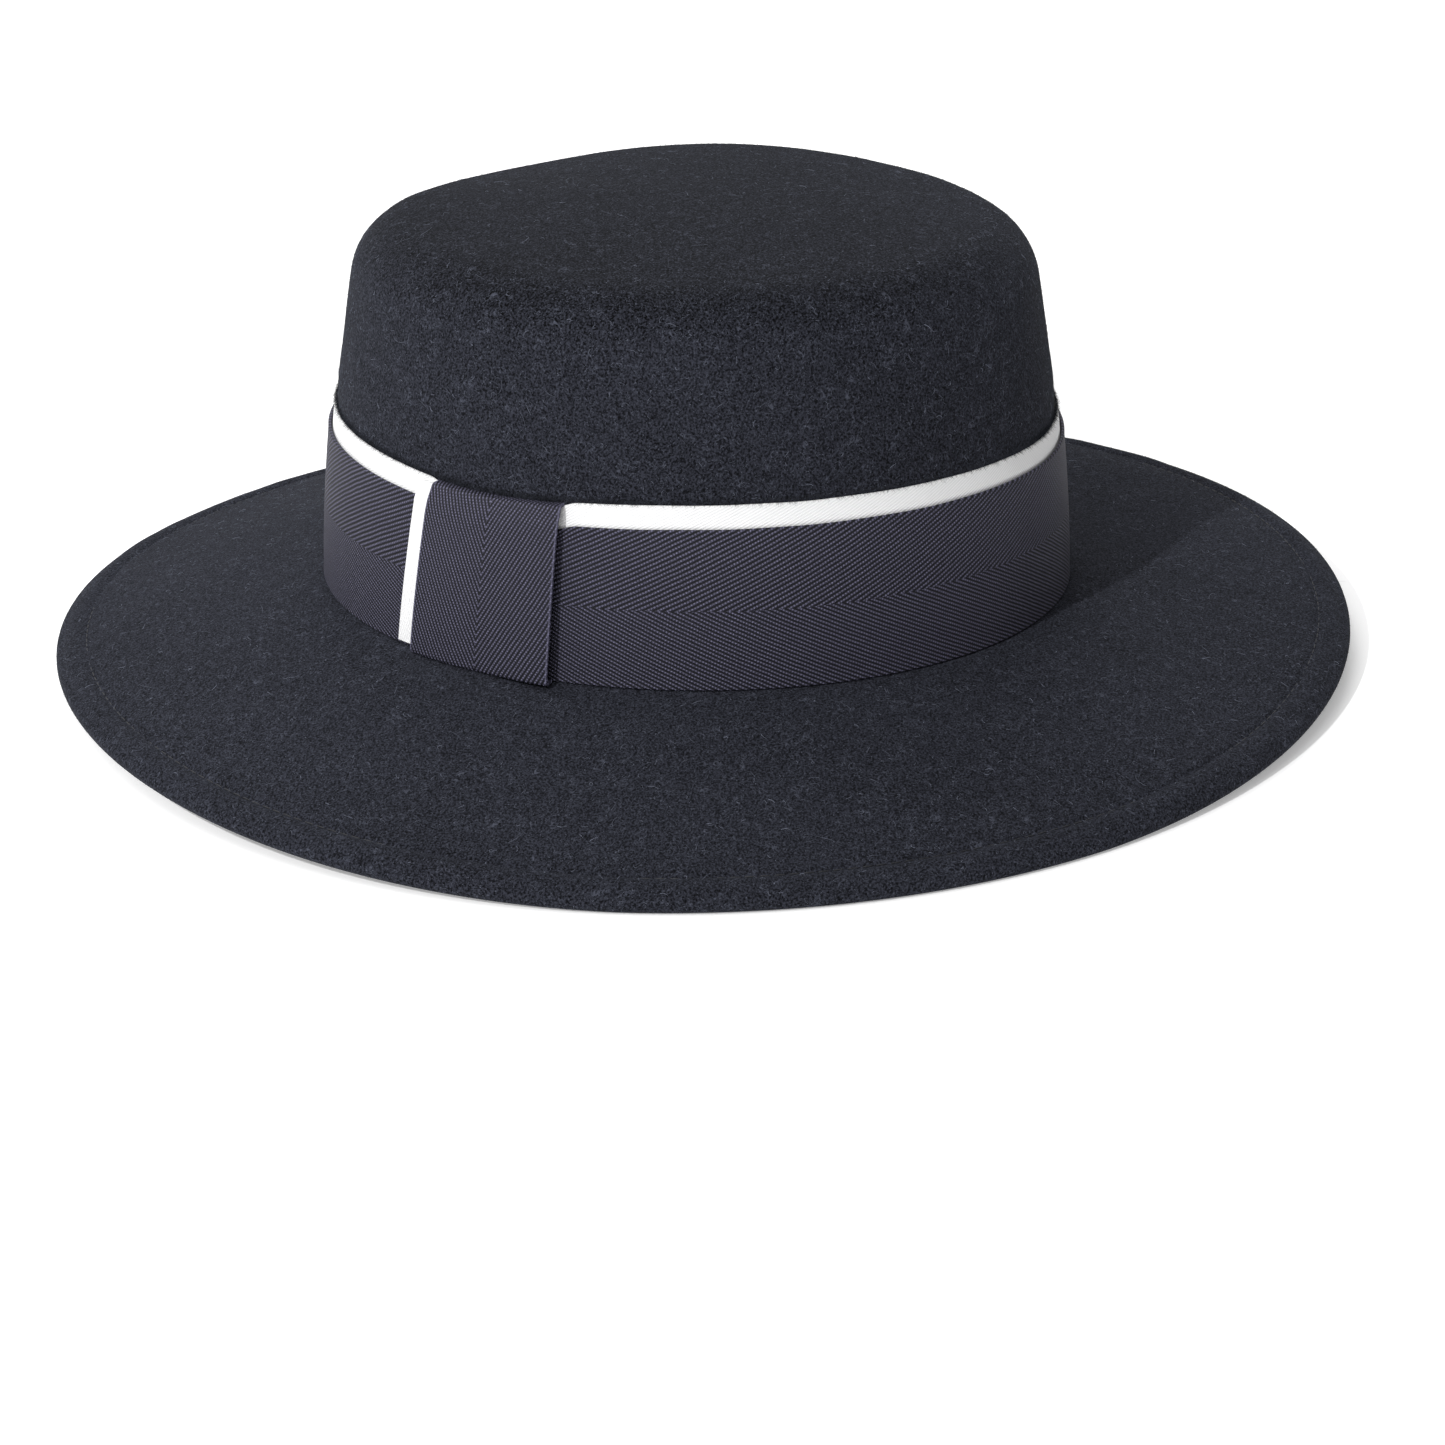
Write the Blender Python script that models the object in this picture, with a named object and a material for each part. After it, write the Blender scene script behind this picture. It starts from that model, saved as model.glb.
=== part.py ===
"""A gaucho hat: one felt body, a white and a navy ribbon round the crown, and a flat ribbon knot.

Metres, +Z up. The hat rests on its brim at z = 0, centred on the origin, and faces -Y, so the
wearer's left is +X. Every surface is a loft of upright sections, one for each angle around the hat.
A section's points are (spread, height): spread is measured outwards from the foot of the felt crown,
and height upwards from that foot.
"""

import math

import bmesh
import bpy

# The crown
HEAD_LENGTH = 0.1915  # inside the crown's mouth, front to back
HEAD_WIDTH = 0.1745  # inside the crown's mouth, side to side
FELT = 0.002
CROWN_HEIGHT = 0.0998  # from the crown's foot to the middle of its tip
CROWN_TAPER = 0.0084  # how far the wall leans in by its top
CROWN_CURVE = 1.55  # 1 is a straight wall, and more leans in later
SHOULDER_RADIUS = 0.0178
TIP_DOME = 0.004
TIP_SAG = 0.002  # a soft dent where the shoulder was handled
TIP_SAG_DEG = 229
TIP_CREST = 0.0013  # the stretch beside it that stands up
TIP_CREST_DEG = 177
CROWN_LEAN_RIGHT_DEG = 1.6
CROWN_LEAN_BACK_DEG = 1.3
CROWN_FORWARD = 0.0009  # the crown's centre lies this far in front of the brim's

# The brim
BRIM_WIDTH = 0.0751
BRIM_DROP = 0.0181
BRIM_EARLY_DROP = 0.9  # share of the drop that an even slope takes
BRIM_WAVE = 0.0063  # how far the edge lifts off the ground at the front and back
WAVE_DEG = 112  # where it lifts most, and again on the far side
WAVE_REST = 0.12  # share of the wave that lies flat on the ground
WAVE_EASE = 1.15  # how gently the edge leaves the ground
EDGE_THICKNESS = 0.0044  # two layers of felt, folded under and stitched
EDGE_FLAT = 0.0025  # the strip of the fold that bears on the ground
HEM = 0.0095

# The ribbons
WHITE_THICKNESS = 0.0006
WHITE_WIDTH = 0.0467
NAVY_THICKNESS = 0.0008
NAVY_WIDTH = 0.041
KNOT_PULL = 0.0017  # how far the knot draws the ribbons' upper edges down
SIDE_SLIP = 0.0014  # the same where they have slipped down at the back of the knot's side
SIDE_SLIP_DEG = 85
CLEARANCE = 0.0003

# The knot
TAB_DEG = -25  # where its foot's middle is, from the wearer's left towards the back
TAB_WIDTH = 0.0398
TAB_TOP_WIDTH = 0.0365
TAB_SLANT = 0.0034  # how far its top lies behind its foot
TAB_THICKNESS = 0.0012
TAB_PROUD = 0.0009  # how far its rear edge stands off the band
WHITE_TAB_SHOWS = 0.0061
WHITE_TAB_RISE = 0.001  # its foot stops this far over the brim
WHITE_TAB_TUCK = 0.003  # its rear edge lies this far inside the knot's

# How finely the surfaces are cut
SEGMENTS = 64
TAB_STEPS = 8
SHOULDER_STEPS = 6

FELT_BLACK = (0.012, 0.013, 0.016, 1)
RIBBON_WHITE = (0.82, 0.82, 0.82, 1)
RIBBON_NAVY = (0.022, 0.028, 0.075, 1)

HALF_LENGTH = HEAD_LENGTH / 2 + FELT
HALF_WIDTH = HEAD_WIDTH / 2 + FELT
MEAN_HALF = (HALF_LENGTH + HALF_WIDTH) / 2
FOOT = EDGE_THICKNESS + BRIM_DROP
REACH = BRIM_WIDTH - EDGE_THICKNESS / 2

# How far each layer of ribbon lies outside the felt
WHITE_INSIDE = CLEARANCE
NAVY_INSIDE = WHITE_INSIDE + WHITE_THICKNESS + CLEARANCE
WHITE_TAB_INSIDE = NAVY_INSIDE + NAVY_THICKNESS + CLEARANCE
TAB_INSIDE = WHITE_TAB_INSIDE + WHITE_THICKNESS + CLEARANCE
FOLD_DRAW = TAB_THICKNESS / 4  # how far the fold is drawn in at the knot's upper edge

# Where the wall ends and the shoulder's arc runs
TIP_HALF = MEAN_HALF - CROWN_TAPER - SHOULDER_RADIUS
SHOULDER_END = math.atan2(TIP_HALF, 2 * TIP_DOME)
SHOULDER_CENTRE = CROWN_HEIGHT - TIP_DOME - SHOULDER_RADIUS * math.sin(SHOULDER_END)
SHOULDER_START = math.atan(CROWN_CURVE * CROWN_TAPER / SHOULDER_CENTRE)
WALL_TOP = SHOULDER_CENTRE + SHOULDER_RADIUS * math.sin(SHOULDER_START)

# Heights where the wall has a ring, as shares of the stretch they cut
NAVY_ROWS = (0, 0.25, 0.5, 0.75, 1)
WALL_ROWS = (0.1, 0.35, 0.65, 1)
BRIM_ROWS = (0.05, 0.13, 0.26, 0.4, 0.55, 0.7)
TIP_ROWS = (0.84, 0.6, 0.35, 0.14)
EDGE_DEGREES = (72, 38, 0, -38, -65)
INNER_TURN = ((0.3, -0.95), (-0.7, -0.4))  # the felt's rounded turn into the crown, in felt thicknesses
SHARP_DEG = 50

# How narrow each local form is: the power of the cosine of the angle from its middle
SAG_POWER = 8
CREST_POWER = 6
PULL_POWER = 16
SLIP_POWER = 10


def smooth(share):
    """0 up to 0, 1 from 1, and an even S between them."""
    share = min(max(share, 0.0), 1.0)
    return share * share * (3 - 2 * share)


def wall_lean(height):
    """How far the wall's outer face has leaned in at a height over its foot."""
    return CROWN_TAPER * (max(height, 0.0) / WALL_TOP) ** CROWN_CURVE


def brim_top(spread):
    """Height of the brim's upper face, under the crown's foot."""
    share = min(max(spread, 0.0) / REACH, 1.0)
    return -BRIM_DROP * (BRIM_EARLY_DROP * share + (1 - BRIM_EARLY_DROP) * share**2)


def brim_wave(angle):
    """How far the brim's edge is off the ground at an angle."""
    lift = (1 + math.cos(2 * (angle - math.radians(WAVE_DEG)))) / 2
    return BRIM_WAVE * (max(lift - WAVE_REST, 0.0) / (1 - WAVE_REST)) ** WAVE_EASE


def near(angle, degrees, power):
    """1 at an angle of the hat, falling to 0 on both sides, faster with a higher power."""
    return max(math.cos(angle - math.radians(degrees)), 0.0) ** power


def tip_shape(angle, height):
    """How far the tip's edge is lifted by its crest and its sag."""
    rise = TIP_CREST * near(angle, TIP_CREST_DEG, CREST_POWER)
    rise -= TIP_SAG * near(angle, TIP_SAG_DEG, SAG_POWER)
    return rise * smooth((height - WALL_TOP + SHOULDER_RADIUS) / (2 * SHOULDER_RADIUS))


def place(angle, spread, height, share=1.0):
    """The point of the hat at an angle. A share under 1 draws the ring in towards the crown's axis."""
    x = (HALF_WIDTH + spread) * math.cos(angle) * share
    y = (HALF_LENGTH + spread) * math.sin(angle) * share
    on_brim = smooth(spread / (REACH - EDGE_FLAT)) if share == 1 else 0.0
    right = math.tan(math.radians(CROWN_LEAN_RIGHT_DEG))
    back = math.tan(math.radians(CROWN_LEAN_BACK_DEG))
    tilt = (right * x - back * y) * (1 - on_brim)
    lift = tip_shape(angle, height) * share**2
    up = max(height, 0.0)
    forward = CROWN_FORWARD * (1 - on_brim)
    z = FOOT + height + tilt + lift + brim_wave(angle) * on_brim
    return (x - right * up, y + back * up - forward, z)


def loft(name, sections, closed, poles=(), colour=None, roughness=0.9):
    """One closed body through sections with the same number of points.

    A closed loft goes all the way round. Its sections are closed outlines, or, with poles, open lines
    whose two ends meet at those two points. A loft that isn't closed gets a cap at each end.
    """
    count = len(sections[0])
    points = [point for section in sections for point in section]
    faces = []
    spans = len(sections) if closed else len(sections) - 1
    for span in range(spans):
        this = span * count
        following = (span + 1) % len(sections) * count
        for row in range(count - 1 if poles else count):
            after = (row + 1) % count
            faces.append((this + row, this + after, following + after, following + row))
    if poles:
        start = len(points)
        points.extend(poles)
        for span in range(spans):
            this = span * count
            following = (span + 1) % len(sections) * count
            faces.append((start, this, following))
            faces.append((start + 1, following + count - 1, this + count - 1))
    elif not closed:
        faces.append(tuple(reversed(range(count))))
        faces.append(tuple(range(len(points) - count, len(points))))
    mesh = bpy.data.meshes.new(name)
    mesh.from_pydata(points, [], faces)
    shape = bmesh.new()
    shape.from_mesh(mesh)
    bmesh.ops.recalc_face_normals(shape, faces=shape.faces)
    shape.to_mesh(mesh)
    shape.free()
    mesh.materials.append(felt_or_cloth(name, colour, roughness))
    mesh.shade_smooth()
    mesh.set_sharp_from_angle(angle=math.radians(SHARP_DEG))
    made = bpy.data.objects.new(name, mesh)
    bpy.data.collections["Gaucho hat"].objects.link(made)
    return made


def felt_or_cloth(name, colour, roughness):
    material = bpy.data.materials.new(name)
    material.use_nodes = True
    shader = material.node_tree.nodes["Principled BSDF"]
    shader.inputs["Base Color"].default_value = colour
    shader.inputs["Roughness"].default_value = roughness
    shader.inputs["Metallic"].default_value = 0
    return material


def turns(steps, start=0.0, end=2 * math.pi):
    return [start + (end - start) * step / steps for step in range(steps)]


def ribbon_rows():
    """Heights of the rings that the felt shares with the ribbons over it."""
    rows = [NAVY_WIDTH * share for share in NAVY_ROWS]
    return rows + [WHITE_WIDTH]


def outer_wall():
    """The wall's outer face from its foot to the shoulder, as (spread, height)."""
    heights = ribbon_rows() + [WHITE_WIDTH + (WALL_TOP - WHITE_WIDTH) * share for share in WALL_ROWS]
    return [(-wall_lean(height), height) for height in heights]


def shoulder(inset=0.0):
    """The rounded edge of the tip, from the wall up."""
    radius = SHOULDER_RADIUS - inset
    centre = -wall_lean(WALL_TOP) - SHOULDER_RADIUS * math.cos(SHOULDER_START)
    found = []
    for step in range(1, SHOULDER_STEPS + 1):
        turn = SHOULDER_START + (SHOULDER_END - SHOULDER_START) * step / SHOULDER_STEPS
        found.append((centre + radius * math.cos(turn), SHOULDER_CENTRE + radius * math.sin(turn)))
    return found


def brim_over():
    """The brim's upper face, from beside the crown to the fold of its edge."""
    spreads = [REACH * share for share in BRIM_ROWS]
    spreads += [BRIM_WIDTH - HEM, REACH]
    return [(spread, brim_top(spread)) for spread in spreads]


def brim_edge():
    """The fold of the edge, from over to under, and the flat strip that bears on the ground."""
    radius = EDGE_THICKNESS / 2
    middle = radius - FOOT
    found = []
    for degrees in EDGE_DEGREES:
        turn = math.radians(degrees)
        found.append((REACH + radius * math.cos(turn), middle + radius * math.sin(turn)))
    return found + [(REACH, -FOOT), (REACH - EDGE_FLAT, -FOOT)]


def brim_under():
    """The hem's inner edge, the brim's lower face, and the rounded turn up into the crown."""
    hem = BRIM_WIDTH - HEM
    found = [(hem, brim_top(hem) - EDGE_THICKNESS), (hem, brim_top(hem) - FELT)]
    for share in reversed(BRIM_ROWS):
        found.append((REACH * share, brim_top(REACH * share) - FELT))
    return found + [(outwards * FELT, upwards * FELT) for outwards, upwards in INNER_TURN]


def make_felt_body():
    outer = list(reversed(shoulder())) + list(reversed(outer_wall()))
    inner = [(spread - FELT, height) for spread, height in outer_wall()[1:]] + shoulder(FELT)
    profile = outer + brim_over() + brim_edge() + brim_under() + inner
    over_spread, over_height = outer[0]
    under_spread, under_height = inner[-1]
    sections = []
    for angle in turns(SEGMENTS):
        section = []
        for share in reversed(TIP_ROWS):
            section.append(tip_point(angle, over_spread, over_height, share))
        section += [place(angle, spread, height) for spread, height in profile]
        for share in TIP_ROWS:
            section.append(tip_point(angle, under_spread, under_height, share))
        sections.append(section)
    top = tip_point(0.0, over_spread, over_height, 0.0)
    below = tip_point(0.0, under_spread, under_height, 0.0)
    return loft("felt_body", sections, True, (top, below), FELT_BLACK)


def tip_point(angle, spread, height, share):
    return place(angle, spread, height + TIP_DOME * (1 - share**2), share)


def over_brim(layer):
    """The lowest point of a layer of ribbon, just clear of the brim."""
    return (layer, brim_top(layer) + CLEARANCE)


def lay(angle, layer, height):
    """The point of a layer of ribbon at an angle, drawn down the crown with the ribbons there."""
    drawn = KNOT_PULL * near(angle, TAB_DEG, PULL_POWER) + SIDE_SLIP * near(angle, SIDE_SLIP_DEG, SLIP_POWER)
    drawn_height = height * (1 - drawn / WHITE_WIDTH)
    return place(angle, layer - wall_lean(drawn_height), drawn_height)


def ribbon_section(angle, inside, thickness, rows):
    """A ribbon's closed outline: up its inner face and down its outer one."""
    outside = inside + thickness
    inner = [over_brim(inside)] + [(inside, height) for height in rows[1:]]
    outer = [over_brim(outside)] + [(outside, height) for height in rows[1:]]
    return [lay(angle, layer, height) for layer, height in inner + outer[::-1]]


def make_band(name, inside, thickness, rows, colour):
    sections = [ribbon_section(angle, inside, thickness, rows) for angle in turns(SEGMENTS)]
    return loft(name, sections, True, (), colour, 0.7)


def make_bands():
    make_band("white_band", WHITE_INSIDE, WHITE_THICKNESS, ribbon_rows(), RIBBON_WHITE)
    make_band("navy_band", NAVY_INSIDE, NAVY_THICKNESS, ribbon_rows()[:-1], RIBBON_NAVY)


def tab_angle(across, height):
    """The angle of a point of the knot. Across is measured from its middle line, forwards below 0."""
    up = height / WHITE_WIDTH
    narrowed = across * (1 + (TAB_TOP_WIDTH / TAB_WIDTH - 1) * up)
    return math.radians(TAB_DEG) + (narrowed + TAB_SLANT * up) / MEAN_HALF


def over_bands(layer, height):
    """A layer that lies over both ribbons, as it dips past the navy one's upper edge."""
    past = max(height - NAVY_WIDTH, 0.0) / (WHITE_WIDTH - NAVY_WIDTH)
    return layer - (NAVY_THICKNESS + CLEARANCE) * min(past, 1.0)


def strip_section(across, layer, thickness, rows):
    """A flat strip's closed outline where it crosses the bands."""
    inner = [(over_bands(layer, height), height) for height in rows]
    outer = [(over_bands(layer + thickness, height), height) for height in reversed(rows)]
    return [lay(tab_angle(across, height), over, height) for over, height in inner + outer]


def make_white_tab():
    front = -TAB_WIDTH / 2 - WHITE_TAB_SHOWS
    rear = TAB_WIDTH / 2 - WHITE_TAB_TUCK
    rows = [WHITE_TAB_RISE] + ribbon_rows()[1:]
    sections = []
    for step in range(TAB_STEPS + 1):
        across = front + (rear - front) * step / TAB_STEPS
        sections.append(strip_section(across, WHITE_TAB_INSIDE, WHITE_THICKNESS, rows))
    loft("white_tab", sections, False, (), RIBBON_WHITE, 0.7)


def knot_section(across, proud):
    """The knot's outline: its face, its fold over the ribbons' upper edges, and its back."""
    rows = ribbon_rows()[1:]
    foot = TAB_INSIDE + TAB_THICKNESS + proud
    lip = WHITE_WIDTH + CLEARANCE
    fold = lip + TAB_THICKNESS
    back = [over_brim(TAB_INSIDE)] + [(over_bands(TAB_INSIDE, height), height) for height in rows[:-1]]
    back.append((over_bands(TAB_INSIDE, lip), lip))
    over = [(CLEARANCE, lip), (CLEARANCE, fold), (over_bands(TAB_INSIDE, fold), fold)]
    face = [(over_bands(foot, height) - FOLD_DRAW * (height == rows[-1]), height) for height in rows[::-1]]
    face.append(over_brim(foot))
    return [lay(tab_angle(across, height), layer, height) for layer, height in back + over + face]


def make_navy_tab():
    sections = []
    for step in range(TAB_STEPS + 1):
        across = TAB_WIDTH * (step / TAB_STEPS - 0.5)
        sections.append(knot_section(across, TAB_PROUD * smooth(2 * step / TAB_STEPS - 1)))
    loft("navy_tab", sections, False, (), RIBBON_NAVY, 0.7)


def clear_scene():
    for found in list(bpy.data.objects):
        bpy.data.objects.remove(found)
    collection = bpy.data.collections.new("Gaucho hat")
    bpy.context.scene.collection.children.link(collection)


def main():
    clear_scene()
    make_felt_body()
    make_bands()
    make_white_tab()
    make_navy_tab()


main()
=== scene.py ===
# Looks of the gaucho hat: felt, ribbons, knot, stitches and nap, with the floor, the light and the camera.
# Metres, +Z up. The hat's front faces -Y and its knot is on the +X side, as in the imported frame.

import math

import bmesh
import bpy
import numpy as np
from mathutils import Matrix, Vector, noise


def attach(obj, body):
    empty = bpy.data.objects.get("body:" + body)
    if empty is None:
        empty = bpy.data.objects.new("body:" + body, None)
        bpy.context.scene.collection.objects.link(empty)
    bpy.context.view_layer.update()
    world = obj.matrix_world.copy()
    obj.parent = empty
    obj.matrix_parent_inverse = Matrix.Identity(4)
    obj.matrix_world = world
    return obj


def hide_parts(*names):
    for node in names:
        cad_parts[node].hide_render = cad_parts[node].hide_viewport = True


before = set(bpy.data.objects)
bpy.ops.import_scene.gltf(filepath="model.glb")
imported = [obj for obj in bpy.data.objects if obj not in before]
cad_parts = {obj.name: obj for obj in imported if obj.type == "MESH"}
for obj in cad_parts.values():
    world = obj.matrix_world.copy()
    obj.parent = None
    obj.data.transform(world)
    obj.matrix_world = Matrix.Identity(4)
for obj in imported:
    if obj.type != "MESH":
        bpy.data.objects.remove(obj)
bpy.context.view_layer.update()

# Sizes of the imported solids, repeated from the part's own source

HEAD_LENGTH = 0.1915
HEAD_WIDTH = 0.1745
FELT = 0.002
CROWN_HEIGHT = 0.0998
CROWN_TAPER = 0.0084
CROWN_CURVE = 1.55
SHOULDER_RADIUS = 0.0178
TIP_DOME = 0.004
TIP_SAG = 0.002
TIP_SAG_DEG = 229
TIP_CREST = 0.0013
TIP_CREST_DEG = 177
CROWN_LEAN_RIGHT_DEG = 1.6
CROWN_LEAN_BACK_DEG = 1.3
CROWN_FORWARD = 0.0009
BRIM_WIDTH = 0.0751
BRIM_DROP = 0.0181
BRIM_EARLY_DROP = 0.9
BRIM_WAVE = 0.0063
WAVE_DEG = 112
WAVE_REST = 0.12
WAVE_EASE = 1.15
EDGE_THICKNESS = 0.0044
EDGE_FLAT = 0.0025
HEM = 0.0095
WHITE_THICKNESS = 0.0006
WHITE_WIDTH = 0.0467
NAVY_THICKNESS = 0.0008
NAVY_WIDTH = 0.041
KNOT_PULL = 0.0017
SIDE_SLIP = 0.0014
SIDE_SLIP_DEG = 85
CLEARANCE = 0.0003
TAB_DEG = -25
TAB_WIDTH = 0.0398
TAB_TOP_WIDTH = 0.0365
TAB_SLANT = 0.0034
TAB_THICKNESS = 0.0012
TAB_PROUD = 0.0009
WHITE_TAB_SHOWS = 0.0061
WHITE_TAB_RISE = 0.001
WHITE_TAB_TUCK = 0.003

HALF_LENGTH = HEAD_LENGTH / 2 + FELT
HALF_WIDTH = HEAD_WIDTH / 2 + FELT
MEAN_HALF = (HALF_LENGTH + HALF_WIDTH) / 2
FOOT = EDGE_THICKNESS + BRIM_DROP
REACH = BRIM_WIDTH - EDGE_THICKNESS / 2
NAVY_INSIDE = CLEARANCE + WHITE_THICKNESS + CLEARANCE
WHITE_TAB_INSIDE = NAVY_INSIDE + NAVY_THICKNESS + CLEARANCE
TAB_INSIDE = WHITE_TAB_INSIDE + WHITE_THICKNESS + CLEARANCE
TIP_HALF = MEAN_HALF - CROWN_TAPER - SHOULDER_RADIUS
SHOULDER_END = math.atan2(TIP_HALF, 2 * TIP_DOME)
SHOULDER_CENTRE = CROWN_HEIGHT - TIP_DOME - SHOULDER_RADIUS * math.sin(SHOULDER_END)
SHOULDER_START = math.atan(CROWN_CURVE * CROWN_TAPER / SHOULDER_CENTRE)
WALL_TOP = SHOULDER_CENTRE + SHOULDER_RADIUS * math.sin(SHOULDER_START)

# Sizes that only the looks have

TURN_STEPS = 600
STITCH_LINE = 0.0083
STITCH_PITCH = 0.0034
STITCH_LENGTH = 0.0025
STITCH_ARCH = 0.00006
THREAD_RADIUS = 0.00016
GROOVE_DEPTH = 0.00045
GROOVE_WIDTH = 0.0007
HEM_BULGE = 0.0007
BULGE_OVER_RIBBON = 0.00025
BRIM_UNEVEN = 1.7
SELVEDGE = 0.0012
SELVEDGE_BULGE = 0.00012
KNOT_CLOTH = 0.0008
KNOT_SQUEEZE = 0.0013
KNOT_FOLD_RADIUS = 0.0012
KNOT_FACE_TOP = 0.034
KNOT_FLARE = 2.6
KNOT_FOOT_LIFT = 1.2
KNOT_LEAN_FOOT = 0.1
KNOT_LEAN = 1.5
FELT_WAVES = 0.00028
FELT_DIMPLES = 0.00014
# Painted shade: the felt's colour darkens over the flat tip, coming in between these two heights, by at most
# this much
TIP_SHADE_HEIGHTS = (0.109, 0.12)
TIP_PAINTED_SHADE = 0.24
FINE_ROWS = (0.0445, 0.061)
HEM_RAMP = 0.004
HEM_EASE = 0.0006
HEM_LIP = 0.0007
HEM_TUCK = 0.0004
RIBBON_RIPPLE = 0.00018
ROUNDED_CORNER = 0.00018
FLOOR_HALF = 6.0

# Weaves: the pitches of the ridges on the two sides of a ribbon's middle, and of the dashes along a ridge

BAND_PITCHES = (0.00095, 0.0011)
KNOT_PITCHES = (0.00097, 0.00097)
WHITE_PITCHES = (0.0007, 0.0007)
NAVY_DASH = 0.00076
WHITE_DASH = 0.0004
RIDGE_DEG = 27.5

# Fibres: how many, their sizes, and the least and most that their random length factor may be

CROWN_FIBRES = 40000
BRIM_FIBRES = 46000
INSIDE_FIBRES = 9000
RIBBON_EDGE_FIBRES = 9000
CURLED_FIBRES = 5200
LOOSE_HAIRS = 420
FIBRE_WIDTH = 0.00007
FIBRE_LENGTH = 0.0017
LENGTH_CUT = (0.25, 2.4)
ROOT_DEPTH = 0.00003
CLEAR_OF_FLOOR = 0.0002

# Lamps: name, azimuth and rise in degrees, distance and size in metres, and watts

LAMPS = (
    ("key", 65.1, 38.0, 1.8, 0.04, 18.6),
    ("top", 60.0, 74.0, 1.6, 1.5, 9.0),
    ("front", 80.0, 22.0, 1.9, 1.2, 4.2),
    ("left", 20.0, 28.0, 1.7, 1.0, 2.2),
    ("far_left", -20.0, 28.0, 1.7, 1.0, 7.5),
    ("back", 279.0, 40.0, 1.7, 1.2, 12.5),
)
SKY_STRENGTH = 0.24

# The view, as angles round the hat and distances in metres

VIEW_DEG = 99.11
VIEW_RISE_DEG = 24.42
VIEW_ROLL_DEG = -1.79
VIEW_DISTANCE = 1.0265
VIEW_AIM = (0.0, 0.0, 0.06)
VIEW_RIGHT = 0.0072
VIEW_UP = -0.0777
SENSOR_MM = 36.0
LENS_MM = 96.87


def smooth(share):
    """0 up to 0, 1 from 1, and an even S between them."""
    share = np.clip(share, 0.0, 1.0)
    return share * share * (3 - 2 * share)


def hump(value, middle, width):
    """1 at the middle, falling away on both sides within about two widths."""
    return np.exp(-(((value - middle) / width) ** 2))


def wall_lean(height):
    """How far the wall has drawn in at a height over the crown's foot."""
    return CROWN_TAPER * (np.maximum(height, 0.0) / WALL_TOP) ** CROWN_CURVE


def brim_top(spread):
    """Height of the brim's upper face over the crown's foot, without the waves of its edge."""
    share = np.clip(spread / REACH, 0.0, 1.0)
    return -BRIM_DROP * (BRIM_EARLY_DROP * share + (1 - BRIM_EARLY_DROP) * share**2)


def brim_wave(angle):
    """How far the brim's edge is lifted at an angle, on two opposite sides of the hat."""
    lift = (1 + np.cos(2 * (angle - math.radians(WAVE_DEG)))) / 2
    return BRIM_WAVE * (np.maximum(lift - WAVE_REST, 0.0) / (1 - WAVE_REST)) ** WAVE_EASE


def near(angle, degrees, power):
    """1 at an angle of the hat, falling to 0 on both sides, faster with a higher power."""
    return np.maximum(np.cos(angle - math.radians(degrees)), 0.0) ** power


def tip_shape(angle, height):
    """The tip's low crest and shallow dip, coming in over the height of the shoulder."""
    rise = TIP_CREST * near(angle, TIP_CREST_DEG, 6) - TIP_SAG * near(angle, TIP_SAG_DEG, 8)
    return rise * smooth((height - WALL_TOP + SHOULDER_RADIUS) / (2 * SHOULDER_RADIUS))


def place(angle, spread, height, share=1.0):
    """Points of the hat at angles, as an array whose last axis is x, y, z."""
    x = (HALF_WIDTH + spread) * np.cos(angle) * share
    y = (HALF_LENGTH + spread) * np.sin(angle) * share
    on_brim = np.where(share == 1, smooth(spread / (REACH - EDGE_FLAT)), 0.0)
    right = math.tan(math.radians(CROWN_LEAN_RIGHT_DEG))
    back = math.tan(math.radians(CROWN_LEAN_BACK_DEG))
    tilt = (right * x - back * y) * (1 - on_brim)
    lift = tip_shape(angle, height) * share**2
    up = np.maximum(height, 0.0)
    z = FOOT + height + tilt + lift + brim_wave(angle) * on_brim
    return np.stack([x - right * up, y + back * up - CROWN_FORWARD * (1 - on_brim), z], axis=-1)


def lay(angle, layer, height):
    """The points of a layer of ribbon, drawn down the crown with the ribbons at each angle."""
    drawn = KNOT_PULL * near(angle, TAB_DEG, 16) + SIDE_SLIP * near(angle, SIDE_SLIP_DEG, 10)
    drawn_height = height * (1 - drawn / WHITE_WIDTH)
    return place(angle, layer - wall_lean(drawn_height), drawn_height)


def noise_at(points, scale, seed):
    """Smooth noise from about -1 to 1 at each point, the same on every run."""
    flat = points.reshape(-1, 3) * scale + np.array([seed * 7.1, seed * 3.7, seed * 5.3])
    found = np.array([noise.noise(Vector(point)) for point in flat])
    return found.reshape(points.shape[:-1])


def grid_normals(grid):
    """Unit normals of a grid of rows and columns whose columns go all the way round."""
    along = np.roll(grid, -1, axis=1) - np.roll(grid, 1, axis=1)
    normal = np.cross(np.gradient(grid, axis=0), along)
    return normal / np.maximum(np.linalg.norm(normal, axis=-1, keepdims=True), 1e-12)


def mesh_piece(name, points, faces, material):
    """A mesh piece that rides with the hat and takes the finish that it is given."""
    mesh = bpy.data.meshes.new(name)
    mesh.from_pydata(points, [], faces)
    mesh.materials.append(material)
    piece = bpy.data.objects.new(name, mesh)
    bpy.context.scene.collection.objects.link(piece)
    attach(piece, "root")
    return piece


def grid_faces(rows, columns, wrap_rows):
    """Quads over a grid whose points are numbered row by row and whose columns go all the way round."""
    faces = []
    for row in range(rows if wrap_rows else rows - 1):
        this = row * columns
        below = (row + 1) % rows * columns
        for column in range(columns):
            after = (column + 1) % columns
            faces.append((this + column, below + column, below + after, this + after))
    return faces


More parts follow.
